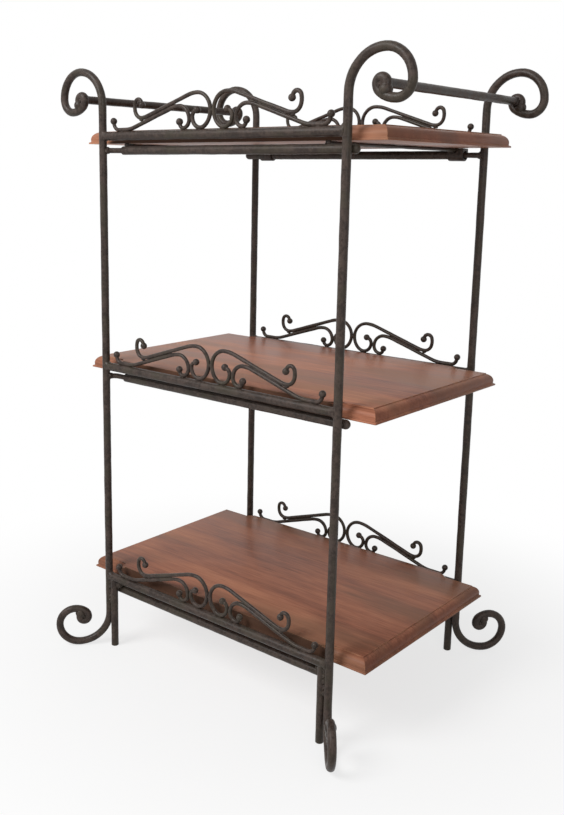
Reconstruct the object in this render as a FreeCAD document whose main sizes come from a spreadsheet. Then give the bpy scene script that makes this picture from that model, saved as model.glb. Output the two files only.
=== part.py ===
"""Bakers rack: a forged frame of round bar with scrolled uprights, and three loose moulded boards.

Millimetres, +Z up. X runs along the boards, Y from front to back. The origin is on the floor, at
the middle of the footprint.
"""
import FreeCAD, Part
import math
import os
import Sketcher

V = FreeCAD.Vector
Rotation = FreeCAD.Rotation
Placement = FreeCAD.Placement

# ---------------------------------------------------------------- driving dimensions
SIZES = [
    # frame
    ("span", 448, "upright to upright along the boards, centre to centre"),
    ("depth", 362, "upright to upright across the boards, centre to centre"),
    ("bar_dia", 12, "uprights, rails, lower bars, legs and handles"),
    ("rail_low", 120.5, "height of the bottom rails' centre"),
    ("tier_pitch", 355, "rise from one tier to the next"),
    ("cope_start", 3, "coped ends start this far from the centre of the bar they meet"),
    ("leg_inset", 12.2, "straight leg's centre, inboard of the upright"),
    ("bar_inset", 12, "lower bar's centre, inboard of the upright"),
    ("drop_bottom", 22.5, "rail centre down to lower bar centre, bottom tier"),
    ("drop_middle", 16.5, "the same, middle tier"),
    ("drop_top", 21, "the same, top tier"),
    ("low_bar_end", 7, "bottom bar's end, inboard of the upright"),
    # lower bars of the two upper tiers: a bored end on a spigot, and a rounded nose past the upright
    ("bar_setback", 33, "upright to the bored end"),
    ("nose_reach", 11, "upright to the tip of the nose"),
    ("bore_dia", 8.4, "bore in the open end"),
    ("bore_depth", 25, "depth of that bore"),
    ("spigot_dia", 8, "spigot rod"),
    ("spigot_bend", 10, "bend radius of the spigot's centre line"),
    ("spigot_reach", 53, "upright to the spigot's end"),
    # ties that carry the boards, and the saddles on the top back bar
    ("tie_dia", 5, "cross ties"),
    ("tie_inset", 38, "tie, inboard of the upright"),
    ("tie_end", 4.5, "coped end of a bottom or middle tie, from the centre of the bar it meets"),
    ("tie_bottom", 5, "bottom ties, below the centre of the rails they join"),
    ("tie_middle", 3.5, "middle ties, above the centre of the lower bars they join"),
    ("tie_top", 7.5, "top ties, above the centre of the lower bars they lie on"),
    ("saddle_length", 26, "saddle, along the bar"),
    ("saddle_width", 18, "saddle, across the bar"),
    ("saddle_rise", 10, "saddle's top, above the bar's centre"),
    # handles
    ("handle_height", 886, "handle's centre above the floor"),
    ("handle_reach", 46.8, "handle, outboard of the upright"),
    ("handle_end", 4, "handle's coped end, inboard of the upright"),
    # uprights: a volute at the top and a smaller one at the foot
    ("joint_height", 475.5, "where the upper and the lower forging meet"),
    ("bend_high", 876.5, "the upright is straight up to here"),
    ("bend_low", 56, "and straight down to here"),
    ("foot_splay", 50, "foot scroll, turned out from the line of the boards, degrees"),
    ("volute_r_neck", 50, "bend away from the upright"),
    ("volute_a_neck", 90, "its turn in degrees"),
    ("volute_a_sweep", 90, "turn of the outer sweep"),
    ("volute_a_return", 90, "turn of the return towards the upright"),
    ("volute_a_flat", 36, "turn of the flat run to the coil"),
    ("crown_r_sweep", 38.8, "outer sweep at the top"),
    ("crown_r_return", 20.5, "return under it"),
    ("crown_r_flat", 39.7, "flat run towards the coil"),
    ("foot_r_sweep", 32.5, "outer sweep at the foot"),
    ("foot_r_return", 26, "return over it"),
    ("foot_r_flat", 27.5, "flat run towards the coil"),
    ("volute_r_coil", 12, "side of the coil"),
    ("volute_a_coil", 54, "its turn"),
    ("volute_r_eye", 7, "eye of the coil"),
    ("volute_a_eye", 190, "its turn"),
    ("volute_tip_dia", 17, "upset knob that fills the eye"),
    # gallery: two large and two small scrolls stand on each rail
    ("scroll_dia", 6, "gallery rod, across corners"),
    ("scroll_tip_dia", 8.5, "ball on each end"),
    ("scroll_slope", 18, "fall of the straight runs, degrees"),
    ("large_offset", 22.15, "middle of the rack to the large loop's foot"),
    ("large_r_eye", 8, "large scroll: inner end"),
    ("large_a_eye", 70, "its turn"),
    ("large_r_foot", 15, "foot on the rail"),
    ("large_a_foot", 125, "its turn"),
    ("large_r_loop", 24.5, "inner loop"),
    ("large_a_loop", 145, "its turn"),
    ("large_r_crest", 60, "crest, before the run"),
    ("large_run", 86.5, "straight run"),
    ("large_r_heel", 35, "foot of the outer hook"),
    ("large_r_hook", 13.5, "outer hook, lower part"),
    ("large_a_hook", 75, "its turn"),
    ("large_r_side", 22, "outer hook, side"),
    ("large_a_side", 30, "its turn"),
    ("large_r_end", 7, "outer end"),
    ("large_a_end", 145, "its turn"),
    ("small_offset", 54.8, "middle of the rack to the small loop's foot"),
    ("small_r_eye", 6, "small scroll: inner end"),
    ("small_a_eye", 75, "its turn"),
    ("small_r_foot", 11.6, "foot on the rail"),
    ("small_a_foot", 90, "its turn"),
    ("small_r_loop", 18.65, "inner loop"),
    ("small_a_loop", 90, "its turn"),
    ("small_r_crest", 50, "crest, before the run"),
    ("small_r_heel", 60, "where the run settles on the rail"),
    ("small_flat", 16, "flat stretch along the rail"),
    ("small_r_end", 10, "outer end"),
    ("small_a_end", 80, "its turn"),
    # boards
    ("board_length", 547, "along X"),
    ("board_depth", 334, "along Y"),
    ("board_thick", 19, "thickness"),
    ("board_gap", 0.3, "air between a board and what carries it"),
    ("mould_width", 11, "moulded edge, inboard from the lip"),
    ("mould_step", 1.5, "step down at the moulding's inner line"),
    ("mould_ledge", 1, "flat ledge under the step"),
    ("mould_radius", 11.5, "swell of the ovolo"),
    ("mould_foot", 4.6, "foot of the ovolo, above the underside"),
    ("mould_quirk", 3.4, "top of the lip at the ovolo's foot"),
    ("mould_reach", 2.6, "how far the lip stands out past the ovolo"),
    ("mould_lip", 2.2, "height of the lip's edge"),
    ("mould_stop", 8, "where the moulding turns out of the long edge, inboard of the upright"),
    ("mould_run", 14, "length of that turn, along each axis"),
    ("cutter_margin", 2, "how far a cutter stands clear of the board"),
]

TIERS = {"bottom": 0, "middle": 1, "top": 2}
SIDES = {"front": -1, "back": 1}
ENDS = {"left": -1, "right": 1}
X_AXIS, Y_AXIS, Z_AXIS = V(1, 0, 0), V(0, 1, 0), V(0, 0, 1)

doc = FreeCAD.newDocument("bakers_rack")
sheet = doc.addObject("Spreadsheet::Sheet", "sizes")
for row, (alias, value, note) in enumerate(SIZES, 1):
    sheet.set(f"A{row}", note)
    sheet.set(f"B{row}", str(value))
    sheet.setAlias(f"B{row}", alias)
doc.recompute()

nodes = []


class Size:
    """A length or an angle with the sheet expression it comes from; sums and products keep both."""

    def __init__(self, value, text):
        self.value = value
        self.text = text

    def join(self, other, sign, value):
        text = other.text if isinstance(other, Size) else str(other)
        return Size(value, f"({self.text} {sign} {text})")

    def __add__(self, other):
        return self.join(other, "+", self.value + number(other))

    def __sub__(self, other):
        return self.join(other, "-", self.value - number(other))

    def __mul__(self, other):
        return self.join(other, "*", self.value * number(other))

    def __truediv__(self, other):
        return self.join(other, "/", self.value / number(other))

    def __neg__(self):
        return self * -1


class Sheet:
    """The driving dimensions by name, as in d.span."""

    def __getattr__(self, alias):
        return Size(float(sheet.get(alias)), f"sizes.{alias}")


def number(size):
    return size.value if isinstance(size, Size) else size


d = Sheet()
bar_r = d.bar_dia / 2
post_x = d.span / 2
post_y = d.depth / 2
bar_y = post_y - d.bar_inset
tie_x = post_x - d.tie_inset


def rail_z(tier):
    return d.rail_low + d.tier_pitch * TIERS[tier]


def bar_z(tier):
    return rail_z(tier) - getattr(d, f"drop_{tier}")


def tie_z(tier):
    """The bottom ties join the rails, the others the lower bars."""
    return rail_z(tier) - d.tie_bottom if tier == "bottom" else bar_z(tier) + getattr(d, f"tie_{tier}")


# ---------------------------------------------------------------- small helpers
def bind(item, path, size):
    """Tie one property to the sheet, or set it if it is a plain number."""
    if isinstance(size, Size):
        item.setExpression(path, size.text)
    else:
        item.setExpression(path, str(size))


def add(kind, name, at=None, turn=None, **sizes):
    """A document object with its sizes, and its place as (x, y, z), tied to the sheet."""
    item = doc.addObject(kind, name)
    if turn:
        item.Placement.Rotation = Rotation(*turn)
    for path, size in sizes.items():
        bind(item, path, size)
    for axis, size in zip("xyz", at or ()):
        bind(item, f"Placement.Base.{axis}", size)
    return item


def boolean(kind, name, **links):
    item = doc.addObject(kind, name)
    for link, target in links.items():
        setattr(item, link, target)
    return item


def group(name, pieces):
    """Several solids carried as one object."""
    return boolean("Part::Compound", name, Links=pieces)


def node(label, item):
    """Mark an object as a finished piece of the rack."""
    item.Label = label
    nodes.append(item)
    return item


def placed_copy(label, master, at, angle=0):
    """A finished piece that repeats a master, turned about Z."""
    copy = add("Part::Compound", label, at=at, turn=(Z_AXIS, angle))
    copy.Links = [master]
    return node(label, copy)


def rod_x(name, start, end, y, z):
    """Round bar along X."""
    return add("Part::Cylinder", name, at=(start, y, z), turn=(Y_AXIS, 90), Radius=bar_r, Height=end - start)


# ---------------------------------------------------------------- sketching
def hold(sketch, kind, *parts, size):
    """A dimension in a sketch, tied to the sheet."""
    value = math.radians(number(size)) if kind == "Angle" else number(size)
    index = sketch.addConstraint(Sketcher.Constraint(kind, *parts, value))
    if isinstance(size, Size):
        sketch.setExpression(f"Constraints[{index}]", size.text)


def polar(angle, radius):
    return V(math.cos(math.radians(angle)), math.sin(math.radians(angle)), 0) * radius


class CentreLine:
    """A sketched chain of tangent straight runs and bends: the centre line of a bent rod."""

    def __init__(self, name, start, heading, plane):
        self.sketch = doc.addObject("Sketcher::SketchObject", name)
        self.sketch.Placement = Placement(V(0, 0, 0), plane)
        self.point = V(number(start[0]), number(start[1]), 0)
        self.heading = heading
        self.last = None

    def join(self, geometry, first, second, end):
        if self.last:
            self.sketch.addConstraint(Sketcher.Constraint("Tangent", *self.last, geometry, first))
        self.last = (geometry, second)
        self.point = end
        return geometry

    def run(self, length, fixed=True):
        end = self.point + polar(self.heading, number(length))
        geometry = self.sketch.addGeometry(Part.LineSegment(self.point, end), False)
        if fixed:
            hold(self.sketch, "Distance", geometry, size=length)
        return self.join(geometry, 1, 2, end)

    def bend(self, radius, turn, way, fixed=True):
        """way is 1 to the left, -1 to the right."""
        centre = self.point + polar(self.heading + 90 * way, number(radius))
        low = self.heading - 90 * way
        high = low + number(turn) * way
        end = centre + polar(high, number(radius))
        self.heading += number(turn) * way
        first, second = (1, 2) if way > 0 else (2, 1)
        if way < 0:
            low, high = high, low
        circle = Part.Circle(centre, Z_AXIS, number(radius))
        arc = Part.ArcOfCircle(circle, math.radians(low), math.radians(high))
        geometry = self.sketch.addGeometry(arc, False)
        hold(self.sketch, "Radius", geometry, size=radius)
        if fixed:
            hold(self.sketch, "Angle", geometry, size=turn)
        return self.join(geometry, first, second, end)

    def pin(self, geometry, spot, x=None, y=None):
        """Hold a point of the chain: spot is 1 or 2 for an end, 3 for a bend's centre."""
        if x is not None:
            hold(self.sketch, "DistanceX", geometry, spot, size=x)
        if y is not None:
            hold(self.sketch, "DistanceY", geometry, spot, size=y)

    def slope(self, line, angle):
        hold(self.sketch, "Angle", line, size=angle)

    def tip_ball(self, name, point, diameter):
        """A ball on the end of the chain that lies nearest to a point of the sketch."""
        target = self.sketch.Placement.multVec(point)
        ends = self.sketch.Shape.Vertexes
        index = min(range(len(ends)), key=lambda i: ends[i].Point.distanceToPoint(target))
        ball = add("Part::Sphere", name, Radius=diameter / 2)
        ball.AttachmentSupport = [(self.sketch, f"Vertex{index + 1}")]
        ball.MapMode = "Translate"
        return ball


UPRIGHT_PLANE = Rotation(X_AXIS, 90)


def volute(line, place, way):
    """The scroll on an end of an upright; place is crown or foot."""
    line.bend(d.volute_r_neck, d.volute_a_neck, way)
    for part in ("sweep", "return", "flat"):
        line.bend(getattr(d, f"{place}_r_{part}"), getattr(d, f"volute_a_{part}"), way)
    line.bend(d.volute_r_coil, d.volute_a_coil, way)
    line.bend(d.volute_r_eye, d.volute_a_eye, way)


def sweep(name, section, line):
    rod = boolean("Part::Sweep", name, Sections=[section], Spine=(line.sketch, []))
    rod.Solid = True
    return rod


# ---------------------------------------------------------------- uprights
upright_section = add("Part::Circle", "upright_section", at=(0, 0, d.joint_height), Radius=bar_r)


def upright_half(name, place, plane):
    """A straight length with the volute on its end, from the joint up to the crown or down to the foot."""
    straight_end, way = (d.bend_high, -1) if place == "crown" else (d.bend_low, 1)
    line = CentreLine(f"{name}_line", (0, d.joint_height), 90 if way < 0 else -90, plane)
    straight = line.run(abs(number(straight_end - d.joint_height)), fixed=False)
    line.pin(straight, 1, 0, d.joint_height)
    line.pin(straight, 2, 0, straight_end)
    volute(line, place, way)
    tip = line.point
    doc.recompute()
    rod = sweep(f"{name}_rod", upright_section, line)
    return [rod, line.tip_ball(f"{name}_tip", tip, d.volute_tip_dia)]


upper_half = upright_half("upper", "crown", UPRIGHT_PLANE)
upright = {}
for hand in (-1, 1):
    name = "upright_left_hand" if hand < 0 else "upright_right_hand"
    foot_plane = Rotation(Z_AXIS, number(d.foot_splay) * hand).multiply(UPRIGHT_PLANE)
    lower_half = upright_half(f"{name}_foot", "foot", foot_plane)
    upright[hand] = boolean("Part::MultiFuse", name, Shapes=upper_half + lower_half, Refine=True)

posts = {}
for side, y_sign in SIDES.items():
    for end, x_sign in ENDS.items():
        place = (post_x * x_sign, post_y * y_sign, 0)
        half_turn = 0 if x_sign > 0 else 180
        label = f"post_{side}_{end}"
        posts[side, end] = placed_copy(label, upright[x_sign * y_sign], place, half_turn)
all_posts = group("all_posts", list(posts.values()))

# ---------------------------------------------------------------- rails and straight legs
rail_end = post_x - d.cope_start
rails = {}
for tier in TIERS:
    for side, y_sign in SIDES.items():
        label = f"rail_{tier}_{side}"
        bar = rod_x(f"{label}_bar", -rail_end, rail_end, post_y * y_sign, rail_z(tier))
        rails[tier, side] = node(label, boolean("Part::Cut", label, Base=bar, Tool=all_posts))

for side, y_sign in SIDES.items():
    for end, x_sign in ENDS.items():
        label = f"leg_{side}_{end}"
        leg_x = (post_x - d.leg_inset) * x_sign
        top = d.rail_low - d.cope_start
        bar = add("Part::Cylinder", f"{label}_bar", at=(leg_x, post_y * y_sign, 0), Radius=bar_r, Height=top)
        node(label, boolean("Part::Cut", label, Base=bar, Tool=rails["bottom", side]))

# ---------------------------------------------------------------- lower bars under the boards
for side, y_sign in SIDES.items():
    reach = post_x - d.low_bar_end
    node(f"bar_bottom_{side}", rod_x(f"bar_bottom_{side}", -reach, reach, bar_y * y_sign, bar_z("bottom")))


def plane_of(body, role):
    return next(p for p in body.Origin.OriginFeatures if p.Role == role)


def body_sketch(body, name, role, offset=None):
    """A sketch on one of a body's own origin planes, moved along its normal by offset."""
    sketch = body.newObject("Sketcher::SketchObject", name)
    sketch.AttachmentSupport = [(plane_of(body, role), "")]
    sketch.MapMode = "FlatFace"
    if offset is not None:
        bind(sketch, "AttachmentOffset.Base.z", offset)
    return sketch


def outline(sketch, corners, arcs=None):
    """A closed outline through corners given as (x, y) sizes.

    arcs maps the number of a side to its radius and its bulge: 1 to the left of the way round.
    """
    count = len(corners)
    points = [V(number(x), number(y), 0) for x, y in corners]
    joints = []
    for i in range(count):
        a, b = points[i], points[(i + 1) % count]
        if arcs and i in arcs:
            radius, bulge = arcs[i]
            half = (b - a) * 0.5
            normal = V(-half.y, half.x, 0).normalize() * bulge
            rise = number(radius) - math.sqrt(number(radius) ** 2 - half.Length ** 2)
            arc = Part.Arc(a, a + half + normal * rise, b)
            geometry = sketch.addGeometry(arc, False)
            hold(sketch, "Radius", geometry, size=radius)
            joints.append((geometry, 2, 1) if bulge > 0 else (geometry, 1, 2))
        else:
            geometry = sketch.addGeometry(Part.LineSegment(a, b), False)
            joints.append((geometry, 1, 2))
    for i, (geometry, first, second) in enumerate(joints):
        following, start, _ = joints[(i + 1) % count]
        sketch.addConstraint(Sketcher.Constraint("Coincident", geometry, second, following, start))
        hold(sketch, "DistanceX", geometry, first, size=corners[i][0])
        hold(sketch, "DistanceY", geometry, first, size=corners[i][1])


def open_chain(sketch, corners):
    """Straight sides through corners, left open."""
    points = [V(number(x), number(y), 0) for x, y in corners]
    sides = [sketch.addGeometry(Part.LineSegment(a, b), False) for a, b in zip(points, points[1:])]
    for i, (x, y) in enumerate(corners):
        side, spot = (sides[i], 1) if i < len(sides) else (sides[-1], 2)
        if 0 < i < len(sides):
            sketch.addConstraint(Sketcher.Constraint("Coincident", sides[i - 1], 2, side, 1))
        hold(sketch, "DistanceX", side, spot, size=x)
        hold(sketch, "DistanceY", side, spot, size=y)


def nosed_bar(label, at, angle):
    """Turned bar along X from its bored end at 0 to its rounded nose."""
    body = doc.addObject("PartDesign::Body", label)
    profile = body_sketch(body, f"{label}_profile", "XZ_Plane")
    length = d.span - d.bar_setback + d.nose_reach
    bore_r = d.bore_dia / 2
    corners = [(0, bore_r), (d.bore_depth, bore_r), (d.bore_depth, 0), (length, 0)]
    corners += [(length - bar_r, bar_r), (0, bar_r)]
    nose_side = 3
    outline(profile, corners, {nose_side: (bar_r, -1)})
    turned = body.newObject("PartDesign::Revolution", f"{label}_turned")
    turned.Profile = profile
    turned.ReferenceAxis = (profile, ["H_Axis"])
    turned.Angle = 360
    body.Placement.Rotation = Rotation(Z_AXIS, angle)
    for axis, size in zip("xyz", at):
        bind(body, f"Placement.Base.{axis}", size)
    return node(label, body)


lower_bars = {}
for tier in ("middle", "top"):
    for side, y_sign in SIDES.items():
        start = (post_x - d.bar_setback) * y_sign
        angle = 0 if y_sign < 0 else 180
        at = (start, bar_y * y_sign, bar_z(tier))
        lower_bars[tier, side] = nosed_bar(f"bar_{tier}_{side}", at, angle)

spigot_line = CentreLine("spigot_line", (0, 0), 45, Rotation())
first_run = spigot_line.run(number(d.bar_inset) * math.sqrt(2) * 0.75, fixed=False)
spigot_line.bend(d.spigot_bend, 45, -1, fixed=False)
last_run = spigot_line.run(number(d.spigot_reach - d.bar_inset), fixed=False)
spigot_line.pin(first_run, 1, 0, 0)
spigot_line.slope(first_run, 45)
spigot_line.sketch.addConstraint(Sketcher.Constraint("Horizontal", last_run))
spigot_line.pin(last_run, 2, d.spigot_reach, d.bar_inset)
doc.recompute()
spigot_section = add("Part::Circle", "spigot_section", Radius=d.spigot_dia / 2)
spigot_section.Placement.Rotation = Rotation(Z_AXIS, V(1, 1, 0))

for tier in ("middle", "top"):
    pair = []
    for side, end, angle in (("front", "left", 0), ("back", "right", 180)):
        at = (post_x * ENDS[end], post_y * SIDES[side], bar_z(tier))
        rod = sweep(f"spigot_{tier}_{side}_rod", spigot_section, spigot_line)
        rod.Placement.Rotation = Rotation(Z_AXIS, angle)
        for axis, size in zip("xyz", at):
            bind(rod, f"Placement.Base.{axis}", size)
        pair.append(boolean("Part::Cut", f"spigot_{tier}_{side}", Base=rod, Tool=posts[side, end]))
    node(f"spigots_{tier}", group(f"spigots_{tier}", pair))


# ---------------------------------------------------------------- ties and saddles
def saddle(name, at):
    """U-shaped saddle around a lower bar, with a slot across its top for the tie."""
    body = doc.addObject("PartDesign::Body", name)
    half = d.saddle_width / 2
    profile = body_sketch(body, f"{name}_profile", "YZ_Plane")
    corners = [(-half, 0), (0, -half), (half, 0), (half, d.saddle_rise), (-half, d.saddle_rise)]
    outline(profile, corners, {0: (half, -1), 1: (half, -1)})
    hole = profile.addGeometry(Part.Circle(V(0, 0, 0), Z_AXIS, number(bar_r)), False)
    profile.addConstraint(Sketcher.Constraint("Coincident", hole, 3, -1, 1))
    hold(profile, "Radius", hole, size=bar_r)
    block = body.newObject("PartDesign::Pad", f"{name}_block")
    block.Profile = profile
    block.Midplane = True
    bind(block, "Length", d.saddle_length)
    slot = body_sketch(body, f"{name}_slot_plan", "XZ_Plane")
    side = d.tie_dia / 2
    low, high = bar_r - d.cutter_margin, d.saddle_rise + d.cutter_margin
    outline(slot, [(-side, low), (side, low), (side, high), (-side, high)])
    cut = body.newObject("PartDesign::Pocket", f"{name}_slot")
    cut.Profile = slot
    cut.Midplane = True
    cut.Type = "Length"
    bind(cut, "Length", d.saddle_width * 2)
    for axis, size in zip("xyz", at):
        bind(body, f"Placement.Base.{axis}", size)
    return body


tie_ends = {"bottom": post_y - d.tie_end, "middle": bar_y - d.tie_end, "top": bar_y}
for tier, half_length in tie_ends.items():
    joined = rails if tier == "bottom" else lower_bars
    carriers = group(f"carriers_{tier}", [joined[tier, "front"], joined[tier, "back"]])
    rods = []
    for end, x_sign in ENDS.items():
        rod = add("Part::Cylinder", f"tie_{tier}_{end}_rod", at=(tie_x * x_sign, half_length, tie_z(tier)),
                  turn=(X_AXIS, 90), Radius=d.tie_dia / 2, Height=half_length * 2)
        rods.append(boolean("Part::Cut", f"tie_{tier}_{end}", Base=rod, Tool=carriers))
    node(f"ties_{tier}", group(f"ties_{tier}", rods))

pair = [saddle(f"saddle_{end}", (tie_x * x_sign, bar_y, bar_z("top"))) for end, x_sign in ENDS.items()]
node("saddles_top", group("saddles_top", pair))

# ---------------------------------------------------------------- handles
for end, x_sign in ENDS.items():
    label = f"handle_{end}"
    half_length = post_y - d.handle_end
    at = ((post_x + d.handle_reach) * x_sign, half_length, d.handle_height)
    bar = add("Part::Cylinder", f"{label}_bar", at=at, turn=(X_AXIS, 90), Radius=bar_r, Height=half_length * 2)
    node(label, boolean("Part::Cut", label, Base=bar, Tool=all_posts))

# ---------------------------------------------------------------- galleries of scrolls
seat = bar_r + d.scroll_dia / 2


def large_scroll():
    """Inner end, foot, loop, crest and run bend to the right, then the outer hook to the left."""
    line = CentreLine("large_line", (d.large_offset + 10, seat + 22), -20, UPRIGHT_PLANE)
    line.bend(d.large_r_eye, d.large_a_eye, -1)
    foot = line.bend(d.large_r_foot, d.large_a_foot, -1)
    line.bend(d.large_r_loop, d.large_a_loop, -1)
    line.bend(d.large_r_crest, d.scroll_slope, -1)
    run = line.run(d.large_run)
    line.bend(d.large_r_heel, d.scroll_slope, 1)
    line.bend(d.large_r_hook, d.large_a_hook, 1)
    line.bend(d.large_r_side, d.large_a_side, 1)
    line.bend(d.large_r_end, d.large_a_end, 1)
    line.pin(foot, 3, d.large_offset, seat + d.large_r_foot)
    line.slope(run, -d.scroll_slope)
    return line


def small_scroll():
    """The same kind of scroll, lower, whose outer end lies along the rail."""
    line = CentreLine("small_line", (d.small_offset + 6, seat + 4), -105, UPRIGHT_PLANE)
    line.bend(d.small_r_eye, d.small_a_eye, -1)
    foot = line.bend(d.small_r_foot, d.small_a_foot, -1)
    line.bend(d.small_r_loop, d.small_a_loop, -1)
    line.bend(d.small_r_crest, d.scroll_slope, -1)
    run = line.run(80, fixed=False)
    line.bend(d.small_r_heel, d.scroll_slope, 1)
    flat = line.run(d.small_flat)
    line.bend(d.small_r_end, d.small_a_end, 1)
    line.pin(foot, 3, d.small_offset, seat + d.small_r_foot)
    line.slope(run, -d.scroll_slope)
    line.pin(flat, 2, y=seat)
    return line


masters = {}
for kind, make in (("large", large_scroll), ("small", small_scroll)):
    line = make()
    doc.recompute()
    bends = line.sketch.Geometry
    first, last = bends[0], bends[-1]
    inner, outer = first.EndPoint, last.EndPoint
    section = add("Part::RegularPolygon", f"{kind}_section", Circumradius=d.scroll_dia / 2)
    section.Polygon = 8
    start = line.sketch.Placement.multVec(inner)
    centre = line.sketch.Placement.multVec(first.Center)
    outward = start - centre
    section.Placement = Placement(start, Rotation(outward, Y_AXIS, V(), "XYZ"))
    pieces = [sweep(f"{kind}_rod", section, line)]
    for name, point in (("inner", inner), ("outer", outer)):
        pieces.append(line.tip_ball(f"{kind}_{name}_ball", point, d.scroll_tip_dia))
    masters[kind] = boolean("Part::MultiFuse", f"{kind}_scroll", Shapes=pieces)

for tier in TIERS:
    for side, y_sign in SIDES.items():
        for end, x_sign in ENDS.items():
            for kind, master in masters.items():
                label = f"scroll_{kind}_{tier}_{side}_{end}"
                place = (0, post_y * y_sign, rail_z(tier))
                placed_copy(label, master, place, 0 if x_sign > 0 else 180)


# ---------------------------------------------------------------- boards
def board(label, height):
    """A plank with square long edges between the uprights and a moulded edge round each end."""
    body = doc.addObject("PartDesign::Body", label)
    half_x, half_y = d.board_length / 2, d.board_depth / 2
    plan = body_sketch(body, f"{label}_plan", "XY_Plane")
    outline(plan, [(-half_x, -half_y), (half_x, -half_y), (half_x, half_y), (-half_x, half_y)])
    plank = body.newObject("PartDesign::Pad", f"{label}_plank")
    plank.Profile = plan
    bind(plank, "Length", d.board_thick)
    stop = post_x - d.mould_stop
    out = stop - d.mould_run
    route = body_sketch(body, f"{label}_route", "XY_Plane")
    corners = [(out, -half_y - d.mould_run), (stop, -half_y), (half_x, -half_y)]
    corners += [(half_x, half_y), (stop, half_y), (out, half_y + d.mould_run)]
    open_chain(route, corners)
    section = body_sketch(body, f"{label}_moulding", "YZ_Plane", out)
    section.AttachmentOffset = Placement(V(0, 0, 0), Rotation(Y_AXIS, 45))
    bind(section, "AttachmentOffset.Base.x", -half_y - d.mould_run)
    bind(section, "AttachmentOffset.Base.z", out)
    high = d.board_thick + d.cutter_margin
    ledge = d.board_thick - d.mould_step
    profile = [(d.mould_width, high), (d.mould_width, ledge), (d.mould_width - d.mould_ledge, ledge)]
    profile += [(d.mould_reach, d.mould_foot), (d.mould_reach, d.mould_quirk), (0, d.mould_lip)]
    profile += [(-d.cutter_margin, d.mould_lip), (-d.cutter_margin, high)]
    ovolo = 2
    outline(section, profile, {ovolo: (d.mould_radius, -1)})
    doc.recompute()
    cut = body.newObject("PartDesign::SubtractivePipe", f"{label}_edge")
    cut.Profile = section
    cut.Spine = (route, [f"Edge{i}" for i in range(1, len(corners))])
    cut.Transition = "Right corner"
    doc.recompute()
    other = body.newObject("PartDesign::Mirrored", f"{label}_edges")
    other.Originals = [cut]
    other.MirrorPlane = (plane_of(body, "YZ_Plane"), [""])
    body.Tip = other
    bind(body, "Placement.Base.z", height)
    return node(label, body)


for tier in TIERS:
    board(f"board_{tier}", tie_z(tier) + d.tie_dia / 2 + d.board_gap)

# ---------------------------------------------------------------- checks and files
doc.recompute()
for item in doc.Objects:
    if "Invalid" in item.State or "Error" in item.State:
        raise RuntimeError(f"{item.Name} did not compute: {item.State}")
for item in nodes:
    if item.Shape.isNull() or not item.Shape.isValid() or not item.Shape.Solids:
        raise RuntimeError(f"{item.Label} has no valid solid")

os.makedirs("parts", exist_ok=True)
for item in nodes:
    item.Shape.exportStep(f"parts/{item.Label}.step")
print(f"{len(nodes)} pieces written")
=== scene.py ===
"""Bakers rack: the look of the forged frame and its three wooden boards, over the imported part.

Metres, +Z up. X runs along the boards and Y from front to back, as in the part itself.
"""

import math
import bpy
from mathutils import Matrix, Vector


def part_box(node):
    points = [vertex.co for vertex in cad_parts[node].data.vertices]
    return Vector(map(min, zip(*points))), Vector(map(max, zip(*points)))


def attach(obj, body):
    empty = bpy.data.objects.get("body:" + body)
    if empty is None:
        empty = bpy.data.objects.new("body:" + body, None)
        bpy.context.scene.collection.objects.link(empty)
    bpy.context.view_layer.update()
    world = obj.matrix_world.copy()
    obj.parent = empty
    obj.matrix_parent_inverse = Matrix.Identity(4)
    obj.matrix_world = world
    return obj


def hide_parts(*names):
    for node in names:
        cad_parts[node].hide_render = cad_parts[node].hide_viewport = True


bl_info = {
    "name": "Bakers Rack",
    "version": (1, 0, 0),
    "blender": (4, 5, 0),
    "location": "View3D > Sidebar > Bakers Rack",
    "description": "Forged rack with scrolled uprights, scroll galleries and moulded boards",
    "category": "Add Mesh",
}

import bmesh
import bpy
from mathutils import Matrix, Vector, noise

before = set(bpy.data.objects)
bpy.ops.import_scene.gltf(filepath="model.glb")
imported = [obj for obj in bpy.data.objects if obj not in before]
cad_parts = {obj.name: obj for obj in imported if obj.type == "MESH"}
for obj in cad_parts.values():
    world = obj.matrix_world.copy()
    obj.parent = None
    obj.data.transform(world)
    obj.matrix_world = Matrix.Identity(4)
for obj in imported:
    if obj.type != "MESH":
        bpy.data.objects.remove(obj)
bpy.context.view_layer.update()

TIERS = ("bottom", "middle", "top")
SIDES = {"front": -1, "back": 1}
ENDS = {"left": -1, "right": 1}
X_AXIS, Y_AXIS, Z_AXIS = Vector((1, 0, 0)), Vector((0, 1, 0)), Vector((0, 0, 1))
FRAME_BODY = "frame"
QUARTER_TURN = math.radians(90)

# Facets of a bar's mesh: round it, along it and in a bend
BAR_SIDES = 28
RING_PITCH = 0.006
RING_TURN = math.radians(9)

# Width of the broken edge round a square end, on a bar and on a thin rod
BROKEN_EDGE = 0.0008
FINE_BROKEN_EDGE = 0.0004

# Unevenness of the hammered surface and of the welds: how fine, to the metre, and its strength
BROAD_MARKS = 42
FINE_MARKS = 130
FINE_MARK_SHARE = 0.45
WELD_LUMPS = 420
WELD_UNEVENNESS = 0.35

# Thickness of a weld, as a multiple of the radius or the thickness of what it holds
HANDLE_WELD = 2.3
CORNER_WELD = 2.4
GROOVE_WELD = 1.75
SPIGOT_WELD = 1.35
TIE_WELD = 1.5
EYE_WELD = 1.3

# Middle of an upright to its spigot's weld, along X and along Y, as a multiple of the radius
SPIGOT_ROOT = 0.72

# A knob a hair wider than its bar, so that it starts at its widest
HEMISPHERE = 1.001

# Lowest and highest roughness of the lacquer
BAR_GLOSS = (0.32, 0.50)
SCROLL_GLOSS = (0.30, 0.47)

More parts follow.
